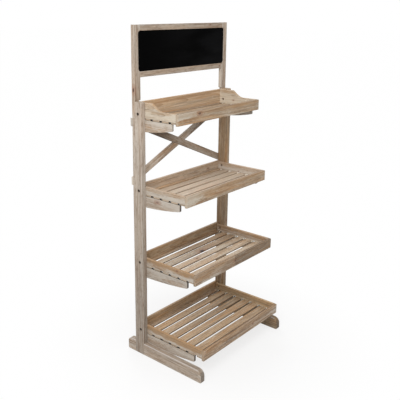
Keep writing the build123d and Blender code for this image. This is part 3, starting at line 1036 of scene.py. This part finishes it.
def steel_surface(plain, worn):
    """The function that paints steel of one colour, worn in patches to another and finely scratched."""
    def surface_of(tree):
        place = tree.object_place()
        wear = tree.noise(place, *WEAR)
        scratches = tree.noise(place, *SCRATCHES)
        colour = tree.mix(wear.rise(*WEAR_LEVELS), plain, worn)
        return colour, STEEL_ROUGHNESS + wear * WEAR_ROUGHNESS, scratches, SCRATCH_DEPTH

    return surface_of


# Every CAD node gets the finish of its material slot

def finish_of(subpart):
    """The material of one CAD node."""
    node = subpart["node"]
    slot = subpart["material_slot"]
    if slot == "washed_wood":
        return make_material("washed_wood_" + node, WashedPine(Board(node)).surface, specular=0.3)
    if slot == "dowel_wood":
        return make_material(slot, dowel_surface, specular=0.3)
    if slot == "chalkboard":
        return make_material(slot, chalkboard_surface, specular=0.02)
    if slot == "dark_steel" and node.endswith("nuts"):
        return make_material("bronzed_steel", steel_surface(NUT_BRONZE, NUT_BRONZE_WORN), metallic=0.4)
    if slot == "dark_steel":
        return make_material(slot, steel_surface(DARK_STEEL, DARK_STEEL_WORN), metallic=0.5, specular=0.2)
    return make_material(slot, steel_surface(ZINC, ZINC_DULL), metallic=0.9)


for subpart in frame["record"]["subparts"]:
    shelf_piece = frame["nodes"][subpart["node"]]
    material = finish_of(subpart)
    for slot in shelf_piece.material_slots:
        slot.material = material


# Floor, world and lamps

FLOOR_REACH = 40.0
FLOOR_COLOUR = (0.86, 0.86, 0.86, 1.0)
WHITE = (1.0, 1.0, 1.0, 1.0)
WHITE_STRENGTH = 1.0

# How much of what the camera sees of the floor is plain white: near the shelf and far from it, and the
# distances in metres between which it changes
WHITE_FLOOR_SHARE = (0.75, 0.995)
WHITE_FLOOR_FADE = (0.26, 0.85)
WORLD_STRENGTH = 0.58
SOFTBOX_AIM = (0.0, 0.0, 0.75)
SOFTBOX_SIDE = 1.6

# Where each softbox stands, and its watts: the main one above the camera and a little left of it, and a
# weak one behind the shelf
SOFTBOXES = {"main_softbox": ((-2.2, -1.2, 2.6), 72.0), "rear_softbox": ((2.2, 2.4, 2.0), 34.0)}
SEEN_RAYS = ("Is Camera Ray", "Is Glossy Ray", "Is Transmission Ray")


def seen_ray(tree):
    """1 for a ray that shows the backdrop, to the camera or in a gloss, and 0 for one that lights."""
    path = tree.add("ShaderNodeLightPath").socket.node
    return highest(Value(tree, path.outputs[name]) for name in SEEN_RAYS)


def make_floor():
    """A matt floor that takes shadows and shows nearly white to the camera."""
    mesh = bpy.data.meshes.new("floor")
    reach = FLOOR_REACH
    corners = [(-reach, -reach, 0), (reach, -reach, 0), (reach, reach, 0), (-reach, reach, 0)]
    mesh.from_pydata(corners, [], [(0, 1, 2, 3)])
    floor = bpy.data.objects.new("floor", mesh)
    bpy.context.scene.collection.objects.link(floor)
    material = bpy.data.materials.new("pale_floor")
    tree = Tree(material)
    matt = tree.add("ShaderNodeBsdfDiffuse", None, {"Color": FLOOR_COLOUR})
    white = tree.add("ShaderNodeEmission", None, {"Strength": WHITE_STRENGTH})
    near_share, far_share = WHITE_FLOOR_SHARE
    away = tree.length(tree.object_place()).rise(*WHITE_FLOOR_FADE)
    share = seen_ray(tree) * (near_share + away * (far_share - near_share))
    both = tree.add("ShaderNodeMixShader", None, {0: share, 1: matt, 2: white})
    tree.feed(tree.nodes["Material Output"].inputs["Surface"], both)
    mesh.materials.append(material)


def make_world():
    """Soft light from all round, behind which the backdrop shows as plain white."""
    world = bpy.data.worlds.new("studio")
    bpy.context.scene.world = world
    tree = Tree(world)
    background = tree.nodes["Background"]
    tree.feed(background.inputs["Color"], WHITE)
    tree.feed(background.inputs["Strength"], WORLD_STRENGTH + seen_ray(tree) * (1 - WORLD_STRENGTH))


def make_softbox(name, place, watts):
    """A square lamp that faces the middle of the shelf."""
    lamp = bpy.data.lights.new(name, "AREA")
    lamp.shape = "SQUARE"
    lamp.size = SOFTBOX_SIDE
    lamp.energy = watts
    softbox = bpy.data.objects.new(name, lamp)
    softbox.location = place
    east, north, up = (stand - aim for stand, aim in zip(place, SOFTBOX_AIM))
    softbox.rotation_euler = (math.atan2(math.hypot(east, north), up), 0, math.atan2(east, -north))
    bpy.context.scene.collection.objects.link(softbox)


# Camera, matched to corners of the shelf in the photograph. The lens is in millimetres

CAMERA_PLACE = (-2.0044, -1.5480, 1.4942)
CAMERA_HEADING = math.radians(48.44)
CAMERA_DIP = math.radians(15.49)
CAMERA_LENS = 53.86
CAMERA_SHIFT = (0.0750, -0.0612)


def make_camera():
    camera_data = bpy.data.cameras.new("camera")
    camera_data.lens = CAMERA_LENS
    camera_data.shift_x, camera_data.shift_y = CAMERA_SHIFT
    camera = bpy.data.objects.new("camera", camera_data)
    camera.location = CAMERA_PLACE
    camera.rotation_euler = (math.pi / 2 - CAMERA_DIP, 0, -CAMERA_HEADING)
    bpy.context.scene.collection.objects.link(camera)
    bpy.context.scene.camera = camera


make_floor()
make_world()
for softbox_name, (softbox_place, softbox_watts) in SOFTBOXES.items():
    make_softbox(softbox_name, softbox_place, softbox_watts)
make_camera()
bpy.context.scene.view_settings.view_transform = "Standard"
